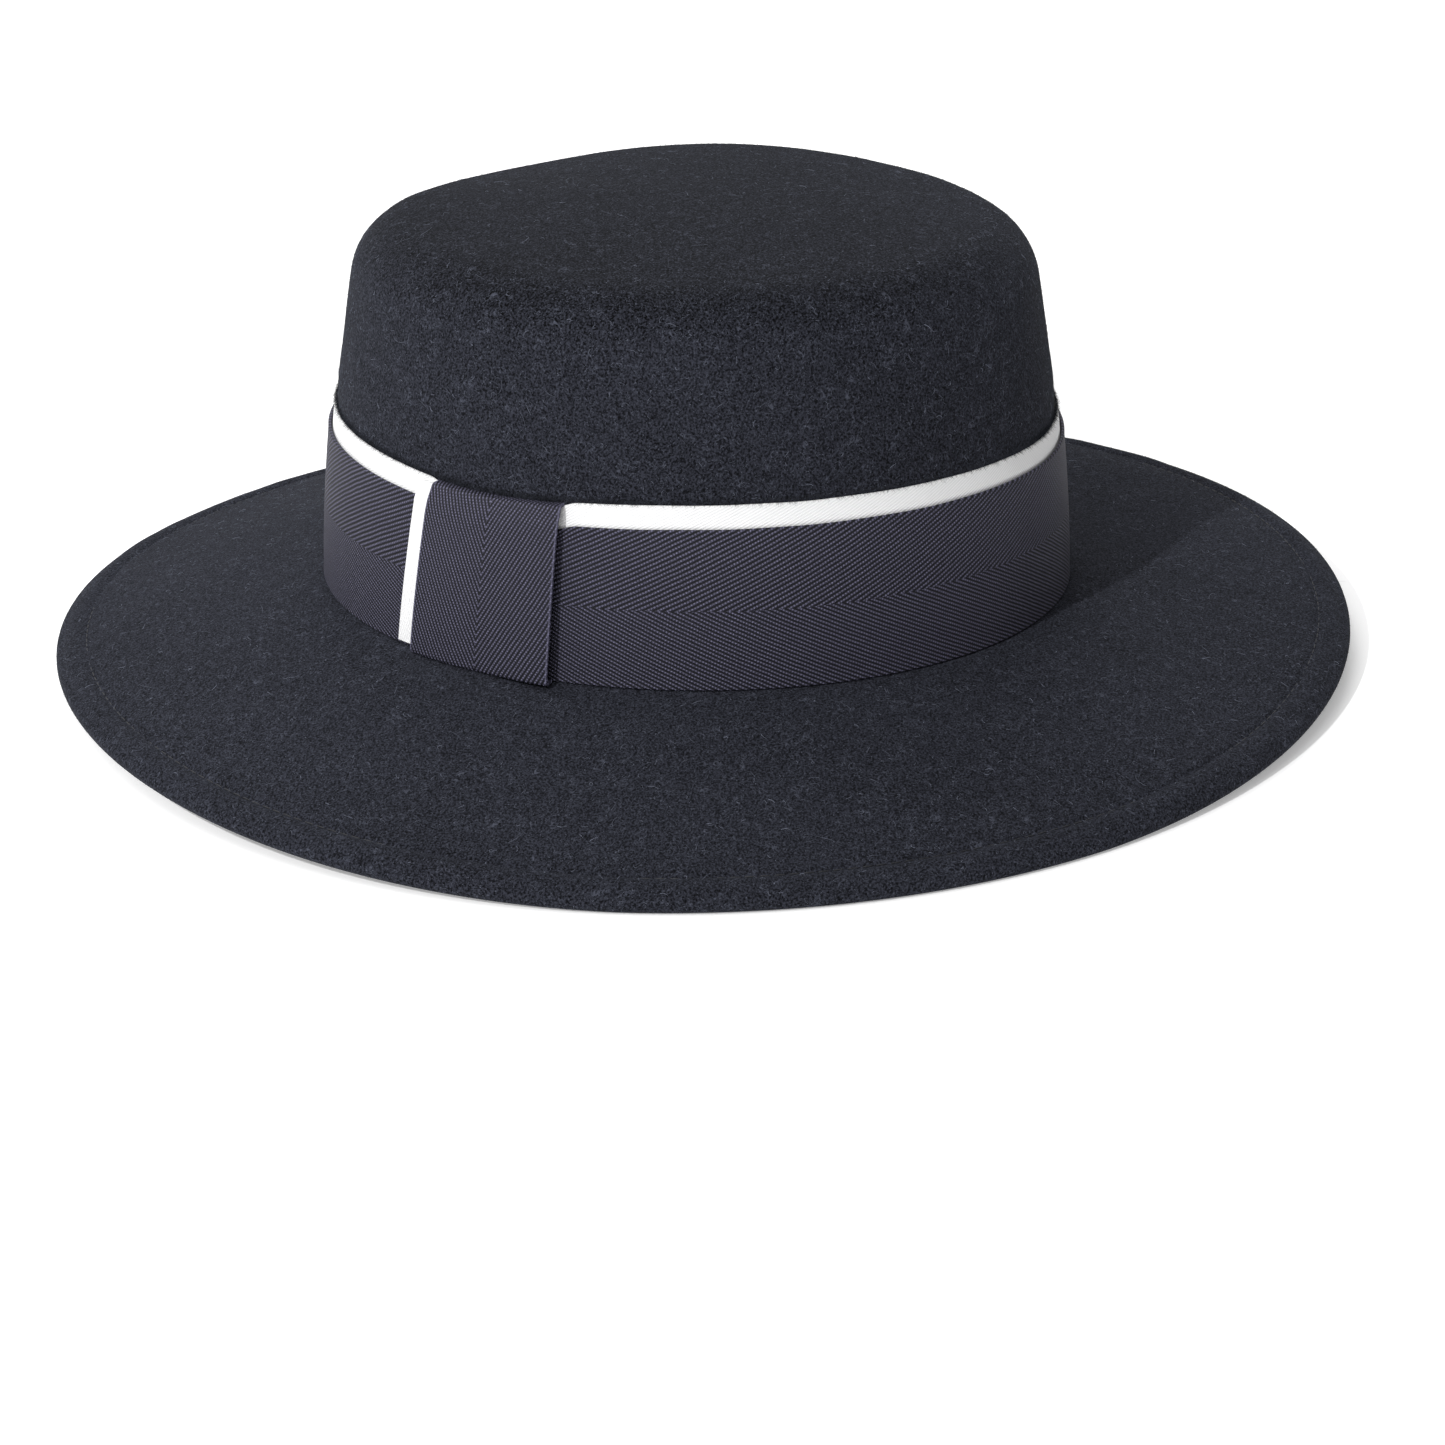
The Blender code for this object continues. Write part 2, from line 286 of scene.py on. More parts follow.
def add_weave(mesh, along, across, columns):
    """Where each corner is on the flat ribbon, in metres, for the weave."""
    layer = mesh.uv_layers.new(name="weave")
    flat_along = along.ravel()
    flat_across = across.ravel()
    length = 2 * math.pi * MEAN_HALF
    for face in mesh.polygons:
        corners = [mesh.loops[index].vertex_index for index in face.loop_indices]
        seam = {corner % columns for corner in corners} >= {0, columns - 1}
        for index, corner in zip(face.loop_indices, corners):
            turn = length if seam and corner % columns == 0 else 0.0
            layer.data[index].uv = (flat_along[corner] + turn, flat_across[corner])


def turn_outward(mesh, sharp_deg=40):
    """Turns all faces outward and shades them smooth, except over edges sharper than the angle."""
    shape = bmesh.new()
    shape.from_mesh(mesh)
    bmesh.ops.recalc_face_normals(shape, faces=shape.faces)
    shape.to_mesh(mesh)
    shape.free()
    mesh.shade_smooth()
    mesh.set_sharp_from_angle(angle=math.radians(sharp_deg))


class Finish:
    """A material built from nodes. In the names of settings an underscore stands for a space."""

    def __init__(self, name, **shader):
        self.material = bpy.data.materials.new(name)
        self.material.use_nodes = True
        self.tree = self.material.node_tree
        self.shader = self.tree.nodes["Principled BSDF"]
        for label, value in shader.items():
            self.shader.inputs[label.replace("_", " ")].default_value = value

    def node(self, kind, settings=None, **inputs):
        made = self.tree.nodes.new("ShaderNode" + kind)
        for label, value in (settings or {}).items():
            setattr(made, label, value)
        for label, value in inputs.items():
            self.feed(made.inputs[label.replace("_", " ")], value)
        return made

    def feed(self, socket, value):
        if isinstance(value, bpy.types.NodeSocket):
            self.tree.links.new(value, socket)
        else:
            socket.default_value = value

    def math(self, operation, *values):
        made = self.tree.nodes.new("ShaderNodeMath")
        made.operation = operation
        for socket, value in zip(made.inputs, values):
            self.feed(socket, value)
        return made.outputs[0]

    def noise(self, where, scale, detail=2.0, roughness=0.5, distortion=0.0):
        made = self.node("TexNoise", Vector=where, Scale=scale, Detail=detail)
        made.inputs["Roughness"].default_value = roughness
        made.inputs["Distortion"].default_value = distortion
        return made.outputs["Fac"]

    def stretch(self, value, low, high, to_low=0.0, to_high=1.0):
        """Value between low and high, stretched to the new ends and held there."""
        made = self.node("MapRange", Value=value)
        for label, end in (("From Min", low), ("From Max", high), ("To Min", to_low), ("To Max", to_high)):
            made.inputs[label].default_value = end
        return made.outputs[0]

    def blend(self, share, low, high):
        made = self.node("Mix", {"data_type": "RGBA"})
        self.feed(made.inputs["Factor"], share)
        self.feed(made.inputs[6], low)
        self.feed(made.inputs[7], high)
        return made.outputs[2]

    def wave(self, turns):
        """A sine from 0 to 1 that repeats at every whole turn."""
        made = self.math("SINE", self.math("MULTIPLY", turns, 2 * math.pi))
        return self.math("MULTIPLY_ADD", made, 0.5, 0.5)

    def bump(self, height, distance, strength=1.0):
        made = self.node("Bump", Height=height, Distance=distance, Strength=strength)
        return made.outputs[0]


def colour(red, green, blue):
    return (red, green, blue, 1.0)


def curled_lines(made, where):
    """Thin curled lines like single fibres, cut into short pieces, in three sizes."""
    sizes = []
    for scale, offset in ((330.0, 3.1), (450.0, 8.7), (600.0, 5.3)):
        apart = made.node("VectorMath", {"operation": "ADD"})
        made.feed(apart.inputs[0], where)
        apart.inputs[1].default_value = (offset, offset, offset)
        path = made.noise(apart.outputs[0], scale, 1.0, 0.5, 1.2)
        from_line = made.math("ABSOLUTE", made.math("SUBTRACT", path, 0.5))
        line = made.stretch(from_line, 0.003, 0.026, 1.0, 0.0)
        cut = made.stretch(made.noise(apart.outputs[0], scale * 0.7, 1.0), 0.54, 0.66)
        sizes.append(made.math("MULTIPLY", line, cut))
    return made.math("MAXIMUM", made.math("MAXIMUM", sizes[0], sizes[1]), sizes[2])


def felt_finish():
    """Dark wool felt: a mottled nap with pale flecks and curled fibres, and painted shade that darkens the
    flat tip.
    """
    made = Finish("felt", Roughness=0.95, Sheen_Weight=0.025, Sheen_Roughness=0.5)
    made.shader.inputs["Sheen Tint"].default_value = colour(0.75, 0.82, 1.0)
    made.shader.inputs["Specular IOR Level"].default_value = 0.08
    where = made.node("TexCoord").outputs["Object"]
    grain = made.noise(where, 1850.0, 1.5, 0.7)
    clumps = made.noise(where, 900.0, 2.0, 0.6, 0.8)
    patches = made.noise(where, 24.0, 3.0, 0.55)
    flecks = made.stretch(made.noise(where, 2400.0, 0.0, 0.5, 0.4), 0.74, 0.8)
    lines = curled_lines(made, where)
    shade = made.math("ADD", made.stretch(grain, 0.38, 0.64, 0.0, 0.84),
                      made.stretch(clumps, 0.33, 0.67, 0.0, 0.08))
    shade = made.math("ADD", shade, made.stretch(patches, 0.3, 0.7, 0.0, 0.08))
    # Painted shade: the felt's colour is darkened over the flat tip, starting at the first height and full
    # from the second
    height_here = made.node("SeparateXYZ", Vector=where).outputs[2]
    painted_tip_shade = made.stretch(height_here, *TIP_SHADE_HEIGHTS, 0.0, -TIP_PAINTED_SHADE)
    nap = made.blend(made.math("ADD", shade, painted_tip_shade), colour(0.0002, 0.0002, 0.0004),
                     colour(0.0345, 0.0367, 0.05))
    with_lines = made.blend(made.math("MULTIPLY", lines, 0.5), nap, colour(0.1, 0.109, 0.145))
    with_flecks = made.blend(made.math("MULTIPLY", flecks, 0.5), with_lines, colour(0.11, 0.12, 0.155))
    made.feed(made.shader.inputs["Base Color"], with_flecks)
    height = made.math("ADD", grain, made.math("MULTIPLY", lines, 0.35))
    made.feed(made.shader.inputs["Normal"], made.bump(height, 0.0004, 0.9))
    return made.material


def nap_finish():
    """Single wool fibres, from black to a pale blue-grey, each with its own tone."""
    made = Finish("nap", Roughness=0.8)
    made.shader.inputs["Specular IOR Level"].default_value = 0.15
    tone = made.node("Attribute", {"attribute_name": "tone"}).outputs["Fac"]
    wool = made.blend(tone, colour(0.006, 0.0065, 0.008), colour(0.27, 0.295, 0.38))
    made.feed(made.shader.inputs["Base Color"], wool)
    return made.material


def weave_nodes(made, pitches, dash_pitch):
    """A herringbone weave from the ribbon's own length and width: its ridges and the dashes on them."""
    flat = made.node("UVMap", {"uv_map": "weave"}).outputs[0]
    parts = made.node("SeparateXYZ", Vector=flat)
    along = parts.outputs[0]
    across = made.math("ABSOLUTE", parts.outputs[1])
    lean = math.radians(RIDGE_DEG)
    drift = made.math("MULTIPLY", made.noise(flat, 160.0, 2.0), 0.25)
    over_middle = made.math("GREATER_THAN", parts.outputs[1], 0.0)
    density = made.stretch(over_middle, 0.0, 1.0, 1 / pitches[0], 1 / pitches[1])
    rise = made.math("MULTIPLY", across, math.cos(lean))
    run = made.math("MULTIPLY", along, math.sin(lean))
    phase = made.math("ADD", made.math("MULTIPLY", made.math("SUBTRACT", rise, run), density), drift)
    on = made.math("ADD", made.math("MULTIPLY", across, math.sin(lean) / dash_pitch),
                   made.math("MULTIPLY", along, math.cos(lean) / dash_pitch))
    shifted = made.math("ADD", on, made.math("MULTIPLY", made.math("FLOOR", phase), 0.5))
    return flat, made.wave(phase), made.wave(shifted)


def navy_finish(name, pitches, highlight_from):
    """Navy herringbone ribbon, its ridges turning at the ribbon's middle.

    The third argument is the distance from the middle at which a paler edge begins, a painted highlight along
    the cloth's edge.
    """
    made = Finish(name, Roughness=0.62)
    made.shader.inputs["Specular IOR Level"].default_value = 0.2
    flat, ridge, dash = weave_nodes(made, pitches, NAVY_DASH)
    thread = made.math("MULTIPLY", made.math("POWER", ridge, 1.7),
                       made.math("MULTIPLY_ADD", dash, 0.75, 0.25))
    mixed = made.noise(flat, 2600.0, 2.0, 0.7)
    lit = made.math("MULTIPLY", thread, made.stretch(mixed, 0.3, 0.7, 0.3, 1.3))
    across = made.math("ABSOLUTE", made.node("SeparateXYZ", Vector=flat).outputs[1])
    # Painted highlight: the colour turns paler near the cloth's edges
    edge = made.math("MULTIPLY", made.stretch(across, highlight_from, highlight_from + 0.00025), 0.3)
    silk = made.blend(made.math("ADD", lit, edge), colour(0.004, 0.004, 0.006), colour(0.188, 0.182, 0.28))
    made.feed(made.shader.inputs["Base Color"], silk)
    made.feed(made.shader.inputs["Normal"], made.bump(thread, 0.0003, 0.9))
    return made.material


def white_finish():
    """White twill ribbon with a fine weave."""
    made = Finish("white_ribbon", Roughness=0.75)
    made.shader.inputs["Specular IOR Level"].default_value = 0.25
    _, ridge, dash = weave_nodes(made, WHITE_PITCHES, WHITE_DASH)
    thread = made.math("MULTIPLY", ridge, made.math("MULTIPLY_ADD", dash, 0.4, 0.6))
    silk = made.blend(thread, colour(0.77, 0.77, 0.775), colour(0.95, 0.95, 0.95))
    made.feed(made.shader.inputs["Base Color"], silk)
    made.feed(made.shader.inputs["Normal"], made.bump(thread, 0.00014, 0.6))
    return made.material


def thread_finish():
    """Black sewing thread with its twist."""
    made = Finish("thread", Roughness=0.55)
    made.shader.inputs["Base Color"].default_value = colour(0.012, 0.013, 0.017)
    where = made.node("TexCoord").outputs["Object"]
    made.feed(made.shader.inputs["Normal"], made.bump(made.noise(where, 5000.0), 0.0001))
    return made.material


def shoulder_rows(turns, inset=0.0):
    """Rows of the round shoulder, or of its inner face at an inset."""
    radius = SHOULDER_RADIUS - inset
    centre = -wall_lean(WALL_TOP) - SHOULDER_RADIUS * math.cos(SHOULDER_START)
    return [(centre + radius * math.cos(turn), SHOULDER_CENTRE + radius * math.sin(turn), 1.0)
            for turn in turns]


def tip_rows(spread, height, shares):
    """Rows of the domed tip, as shares of the way from its middle to the shoulder."""
    return [(spread, height + TIP_DOME * (1 - share**2), share) for share in shares]


def edge_rows():
    """Rows round the brim's edge, under its flat foot and over the inner step of the hem."""
    radius = EDGE_THICKNESS / 2
    rows = [(REACH + radius * math.cos(turn), radius - FOOT + radius * math.sin(turn), 1.0)
            for turn in np.radians(np.linspace(76, -70, 10))]
    hem = BRIM_WIDTH - HEM
    ramp = hem + HEM_RAMP
    below_hem = brim_top(hem) - EDGE_THICKNESS
    below_felt = brim_top(hem) - FELT
    rows += [(REACH, -FOOT, 1.0), (REACH - EDGE_FLAT, -FOOT, 1.0)]
    rows += [(ramp, brim_top(ramp) - EDGE_THICKNESS, 1.0), (hem + HEM_EASE, below_hem, 1.0)]
    rows += [(hem, below_hem + HEM_LIP, 1.0), (hem, below_felt - HEM_TUCK, 1.0)]
    rows += [(hem - HEM_EASE, below_felt, 1.0)]
    return rows


def felt_rows():
    """The felt's section from the middle of the tip, over the edge of the brim and back inside.

    Each row is spread, height and share, and the second list names the face that it is on.
    """
    turns = np.linspace(SHOULDER_END, SHOULDER_START, 14)
    over = shoulder_rows(turns)
    under = shoulder_rows(turns[::2], FELT)[::-1]
    tip = tip_rows(over[0][0], over[0][1], np.linspace(0.03, 1.0, 22)[:-1])
    inner_tip = tip_rows(under[-1][0], under[-1][1], np.linspace(1.0, 0.04, 8)[1:])
    finest = np.linspace(FINE_ROWS[1], FINE_ROWS[0], 14)
    heights = np.concatenate([np.linspace(WALL_TOP, 0.062, 9)[1:], finest, np.linspace(0.042, 0.0, 6)])
    wall = [(-wall_lean(height), height, 1.0) for height in heights]
    spreads = np.concatenate([np.linspace(0.0012, REACH - 0.011, 24),
                              np.linspace(REACH - 0.0102, REACH, 20)])
    brim = [(spread, brim_top(spread), 1.0) for spread in spreads]
    hem = BRIM_WIDTH - HEM
    below = [(spread, brim_top(spread) - FELT, 1.0) for spread in np.linspace(hem - 0.004, 0.003, 14)]
    below += [(0.3 * FELT, -0.95 * FELT, 1.0), (-0.7 * FELT, -0.4 * FELT, 1.0)]
    inside = [(-wall_lean(height) - FELT, height, 1.0) for height in np.linspace(0.004, WALL_TOP, 10)]
    inside += under[1:] + inner_tip
    parts = (("tip", tip), ("shoulder", over), ("wall", wall), ("brim", brim), ("edge", edge_rows()),
             ("below", below), ("inside", inside))
    rows = [row for _, part in parts for row in part]
    faces = [face for face, part in parts for _ in part]
    return np.array(rows), np.array(faces)


def felt_relief(grid, rows, faces):
    """How far each point of the felt stands proud of the plain shape, along its normal."""
    spread = rows[:, 0][:, None]
    height = rows[:, 1][:, None]
    is_wall = (faces == "wall")[:, None]
    is_brim = (faces == "brim")[:, None]
    outer = np.isin(faces, ["tip", "shoulder", "wall", "brim"])[:, None]
    free = np.where(is_wall, smooth((height - WHITE_WIDTH - 0.0005) / 0.006), 1.0)
    free = np.where(is_brim, BRIM_UNEVEN * smooth((spread - 0.006) / 0.01), free)
    soft = FELT_WAVES * noise_at(grid, 21.0, 1) + FELT_DIMPLES * noise_at(grid, 75.0, 2)
    relief = np.where(outer, soft * free, 0.5 * soft * np.isin(faces, ["below", "inside"])[:, None])
    above = BULGE_OVER_RIBBON * hump(height, WHITE_WIDTH + 0.0075, 0.006)
    relief = relief + np.where(is_wall, above * smooth((height - WHITE_WIDTH) / 0.003), 0.0)
    from_edge = BRIM_WIDTH - spread
    groove = -GROOVE_DEPTH * hump(from_edge, STITCH_LINE, GROOVE_WIDTH)
    roll = HEM_BULGE * smooth((STITCH_LINE - from_edge) / 0.003) * smooth((from_edge - 0.001) / 0.003)
    return relief + np.where(is_brim, groove + roll, 0.0)


def make_felt(material):
    """The felt crown and brim in one piece. Its grid comes back for what grows on it."""
    rows, faces = felt_rows()
    angles = np.arange(TURN_STEPS) * 2 * math.pi / TURN_STEPS
    grid = place(angles[None, :], rows[:, 0][:, None], rows[:, 1][:, None], rows[:, 2][:, None])
    normals = grid_normals(grid)
    if np.mean(normals[0, :, 2]) < 0:
        normals = -normals
    grid = grid + normals * felt_relief(grid, rows, faces)[..., None]
    grid[..., 2] = np.maximum(grid[..., 2], 0.0)
    points = grid.reshape(-1, 3).tolist()
    quads = grid_faces(len(rows), TURN_STEPS, False)
    first = len(points)
    points += [grid[0].mean(axis=0).tolist(), grid[-1].mean(axis=0).tolist()]
    last = (len(rows) - 1) * TURN_STEPS
    for column in range(TURN_STEPS):
        after = (column + 1) % TURN_STEPS
        quads.append((first, column, after))
        quads.append((first + 1, last + after, last + column))
    piece = mesh_piece("felt", points, quads, material)
    turn_outward(piece.data, 50)
    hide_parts("felt_body")
    return grid, normals, rows, faces


def ribbon_outline(inside, thickness, top, steps):
    """A ribbon's closed outline as layer and height, up its outer face and down its inner one."""
    outside = inside + thickness
    low = float(brim_top(outside)) + CLEARANCE
    ease = thickness * 0.45
    heights = np.linspace(low + ease, top - ease, steps)
    near_edge = np.minimum(heights - low, top - heights)
    outline = [(outside + SELVEDGE_BULGE * hump(gap, SELVEDGE / 2, SELVEDGE / 2), height)
               for gap, height in zip(near_edge, heights)]
    corner = 0.25 * thickness
    above = top - 0.1 * ease
    below = low + 0.1 * ease
    outline += [(outside - corner, above), (inside + corner, above)]
    outline += [(inside, height) for height in np.linspace(top - ease, low + ease, 6)]
    outline += [(inside + corner, below), (outside - corner, below)]
    return np.array(outline)


def make_band(name, node, inside, thickness, top, material):
    """A ribbon round the crown's foot, drawn down by the knot, with a slight ripple in its top edge."""
    outline = ribbon_outline(inside, thickness, top, 30)
    start = math.radians(TAB_DEG)
    angles = start + np.arange(TURN_STEPS) * 2 * math.pi / TURN_STEPS
    layer = outline[:, 0][:, None]
    height = outline[:, 1][:, None] + 0 * angles[None, :]
    ripple = place(angles[None, :], 0 * height, height)
    at_top = smooth((height - top + 0.006) / 0.006)
    top_middle = start + TAB_SLANT / MEAN_HALF
    aside = np.abs((angles - top_middle + math.pi) % (2 * math.pi) - math.pi) * MEAN_HALF
    under_knot = smooth((TAB_TOP_WIDTH / 2 + 0.0035 - aside) / 0.006)[None, :]
    height = height + (RIBBON_RIPPLE * noise_at(ripple, 60.0, 5) - KNOT_SQUEEZE * under_knot) * at_top
    grid = lay(angles[None, :], layer, height)
    faces = grid_faces(len(outline), TURN_STEPS, True)
    piece = mesh_piece(name, grid.reshape(-1, 3).tolist(), faces, material)
    along = np.broadcast_to((angles - start) * MEAN_HALF, height.shape)
    across = np.broadcast_to(outline[:, 1][:, None] - top / 2, height.shape)
    add_weave(piece.data, along, across, TURN_STEPS)
    turn_outward(piece.data)
    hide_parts(node)


def tab_angle(across, height):
    """The angle of a point of the knot, which leans and narrows towards its top."""
    up = height / WHITE_WIDTH
    narrowed = across * (1 + (TAB_TOP_WIDTH / TAB_WIDTH - 1) * up)
    return math.radians(TAB_DEG) + (narrowed + TAB_SLANT * up) / MEAN_HALF


def over_bands(layer, height):
    """A layer over both bands that comes in where only the white band is below it."""
    past = np.maximum(height - NAVY_WIDTH, 0.0) / (WHITE_WIDTH - NAVY_WIDTH)
    return layer - (NAVY_THICKNESS + CLEARANCE) * np.minimum(past, 1.0)


def rounded(line, times):
    """An open line with its corners cut again and again until they are round."""
    for _ in range(times):
        cut = np.stack([0.75 * line[:-1] + 0.25 * line[1:], 0.25 * line[:-1] + 0.75 * line[1:]], axis=1)
        line = np.concatenate([line[:1], cut.reshape(-1, 2), line[-1:]])
    return line


def knot_outline(proud):
    """The knot's cloth as layer and height: under the ribbons' foot, up the face and over to the felt."""
    half = KNOT_CLOTH / 2
    lip = WHITE_WIDTH - KNOT_SQUEEZE + CLEARANCE + half
    face = TAB_INSIDE + TAB_THICKNESS + KNOT_FLARE * proud - half
    low = float(brim_top(face)) + CLEARANCE + half + KNOT_FOOT_LIFT * proud
    held = TAB_INSIDE + TAB_THICKNESS - half
    top_layer = float(over_bands(held, lip)) + 0.2 * proud
    line = [(TAB_INSIDE + half - 0.0006, low), (face - 0.0002, low), (face, low + KNOT_FOLD_RADIUS)]
    line += [(face - (KNOT_LEAN_FOOT + KNOT_LEAN * share) * proud, KNOT_FACE_TOP * share)
             for share in (0.35, 0.7, 1.0)]
    line += [(float(over_bands(held, NAVY_WIDTH)) + 0.5 * proud, NAVY_WIDTH)]
    line += [(top_layer, lip - KNOT_FOLD_RADIUS), (top_layer - 0.0003, lip), (CLEARANCE + half, lip)]
    line = rounded(np.array(line), 3)
    ahead = np.gradient(line, axis=0)
    ahead /= np.linalg.norm(ahead, axis=1, keepdims=True)
    aside = np.stack([ahead[:, 1], -ahead[:, 0]], axis=1) * half
    run = np.concatenate([[0.0], np.cumsum(np.linalg.norm(np.diff(line, axis=0), axis=1))])
    return np.concatenate([line + aside, (line - aside)[::-1]]), np.concatenate([run, run[::-1]])


def strip_outline(layer, thickness, low, high):
    """A flat strip's closed outline as layer and height, with the height as its own length."""
    heights = np.linspace(low, high, 20)
    inner = np.stack([over_bands(layer, heights), heights], axis=1)
    outer = np.stack([over_bands(layer + thickness, heights[::-1]), heights[::-1]], axis=1)
    return np.concatenate([inner, outer]), np.concatenate([heights, heights[::-1]])


def make_strip(name, node, outlines, acrosses, material):
    """A strip over the bands, lofted from one side to the other through closed outlines."""
    grid = []
    ups = []
    for across, (outline, run) in zip(acrosses, outlines):
        grid.append(lay(tab_angle(across, outline[:, 1]), outline[:, 0], outline[:, 1]))
        ups.append(run)
    grid = np.array(grid)
    count = grid.shape[1]
    points = grid.reshape(-1, 3).tolist()
    faces = []
    for row in range(len(grid) - 1):
        for column in range(count):
            after = (column + 1) % count
            this = row * count
            faces.append((this + column, this + count + column, this + count + after, this + after))
    faces.append(tuple(range(count)))
    faces.append(tuple(reversed(range(len(points) - count, len(points)))))
    piece = mesh_piece(name, points, faces, material)
    layer = piece.data.uv_layers.new(name="weave")
    flat_up = np.array(ups).ravel()
    flat_across = np.repeat(np.array(acrosses), count)
    for loop in piece.data.loops:
        index = loop.vertex_index
        layer.data[loop.index].uv = (flat_up[index], flat_across[index])
    turn_outward(piece.data)
    bevel = piece.modifiers.new("soft edge", "BEVEL")
    bevel.width = ROUNDED_CORNER
    bevel.segments = 2
    bevel.angle_limit = math.radians(60)
    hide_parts(node)


def make_knot(navy, white):
    """The white ribbon under the knot and the navy ribbon wrapped over it."""
    front = -TAB_WIDTH / 2 - WHITE_TAB_SHOWS
    rear = TAB_WIDTH / 2 - WHITE_TAB_TUCK
    acrosses = np.linspace(front, rear, 30)
    squeezed = WHITE_WIDTH - KNOT_SQUEEZE
    outline = strip_outline(WHITE_TAB_INSIDE, WHITE_THICKNESS, WHITE_TAB_RISE, squeezed)
    make_strip("white_under_knot", "white_tab", [outline] * len(acrosses), acrosses, white)
    steps = np.linspace(0.0, 1.0, 48)
    acrosses = TAB_WIDTH * (steps - 0.5)
    outlines = [knot_outline(TAB_PROUD * float(smooth(2 * step - 1))) for step in steps]
    make_strip("navy_knot", "navy_tab", outlines, acrosses, navy)


def give_tones(piece, tones):
    """A tone for each point of a piece of fibres, which the nap's finish reads."""
    values = piece.data.attributes.new("tone", "FLOAT", "POINT")
    values.data.foreach_set("value", tones.astype(np.float32))


def spikes(name, start, along, tone, material):
    """Many fine fibres in one piece, each a long closed spike from its root to its point."""
    length = np.linalg.norm(along, axis=1, keepdims=True)
    forward = along / length
    steep = np.abs(forward[:, 2:3]) > 0.8
    helper = np.where(steep, np.array([[1.0, 0.0, 0.0]]), np.array([[0.0, 0.0, 1.0]]))
    side = np.cross(forward, helper)
    side /= np.linalg.norm(side, axis=1, keepdims=True)
    other = np.cross(forward, side)
    points = []
    for turn in np.radians([0, 120, 240]):
        points.append(start + (side * math.cos(turn) + other * math.sin(turn)) * FIBRE_WIDTH / 2)
    points.append(start + along)
    count = len(start)
    vertices = np.stack(points, axis=1).reshape(-1, 3)
    pattern = np.array([[0, 1, 3], [1, 2, 3], [2, 0, 3], [2, 1, 0]])
    faces = (pattern[None] + 4 * np.arange(count)[:, None, None]).reshape(-1, 3)
    piece = mesh_piece(name, vertices.tolist(), faces.tolist(), material)
    give_tones(piece, np.repeat(tone, 4))


def spots(grid, normals, chosen, count, draw):
    """Random places on the chosen cells of a grid, even over their area, with normals and tangents."""
    after = np.roll(grid, -1, axis=1)
    across = after[:-1] - grid[:-1]
    down = grid[1:] - grid[:-1]
    area = np.linalg.norm(np.cross(across, down), axis=-1) * chosen[:-1]
    share = area.ravel() / area.sum()
    cells = draw.choice(len(share), size=count, p=share)
    row, column = np.unravel_index(cells, area.shape)
    u = draw.random((count, 1))
    v = draw.random((count, 1))
    point = grid[row, column] + across[row, column] * u + down[row, column] * v
    normal = normals[row, column]
    tangent = across[row, column] / np.linalg.norm(across[row, column], axis=1, keepdims=True)
    return point, normal, tangent, np.cross(normal, tangent)


def grow(name, grid, normals, chosen, count, seed, material):
    """Short straight fibres on the chosen cells of the felt, most of them dark and some pale."""
    draw = np.random.default_rng(seed)
    point, normal, tangent, other = spots(grid, normals, chosen, count, draw)
    turn = draw.random((count, 1)) * 2 * math.pi
    rise = np.abs(draw.normal(0.0, 0.35, (count, 1))) + 0.06
    length = np.clip(draw.lognormal(-0.35, 0.5, (count, 1)), *LENGTH_CUT) * FIBRE_LENGTH / LENGTH_CUT[1]
    flat = tangent * np.cos(turn) + other * np.sin(turn)
    along = (flat * np.cos(rise) + normal * np.sin(rise)) * length
    is_pale = draw.random(count) < 0.2
    pale = 0.15 + 0.85 * draw.random(count) ** 1.3
    tone = np.where(is_pale, pale, 0.09 * draw.random(count))
    root = point - normal * ROOT_DEPTH
    clear = np.minimum(root[:, 2], root[:, 2] + along[:, 2]) > CLEAR_OF_FLOOR
    spikes(name, root[clear], along[clear], tone[clear], material)


def fringe(name, count, seed, material):
    """Short fibres of the crown that lie down over the white ribbon's upper edge."""
    draw = np.random.default_rng(seed)
    angle = draw.random(count) * 2 * math.pi
    height = WHITE_WIDTH + 0.0003 + 0.0011 * draw.random(count)
    layer = np.full(count, CLEARANCE)
    root = lay(angle, layer, height)
    outward = lay(angle, layer + 0.001, height) - root
    down = lay(angle, layer, height - 0.001) - root
    aside = lay(angle + 0.01, layer, height) - root
    aside /= np.linalg.norm(aside, axis=1, keepdims=True)
    along = down * 1000 + outward * (900 + 900 * draw.random((count, 1)))
    along = along + aside * draw.normal(0.0, 0.9, (count, 1))
    length = 0.0011 + 0.0014 * draw.random((count, 1)) ** 2
    along *= length / np.linalg.norm(along, axis=1, keepdims=True)
    spikes(name, root, along, 0.12 * draw.random(count), material)


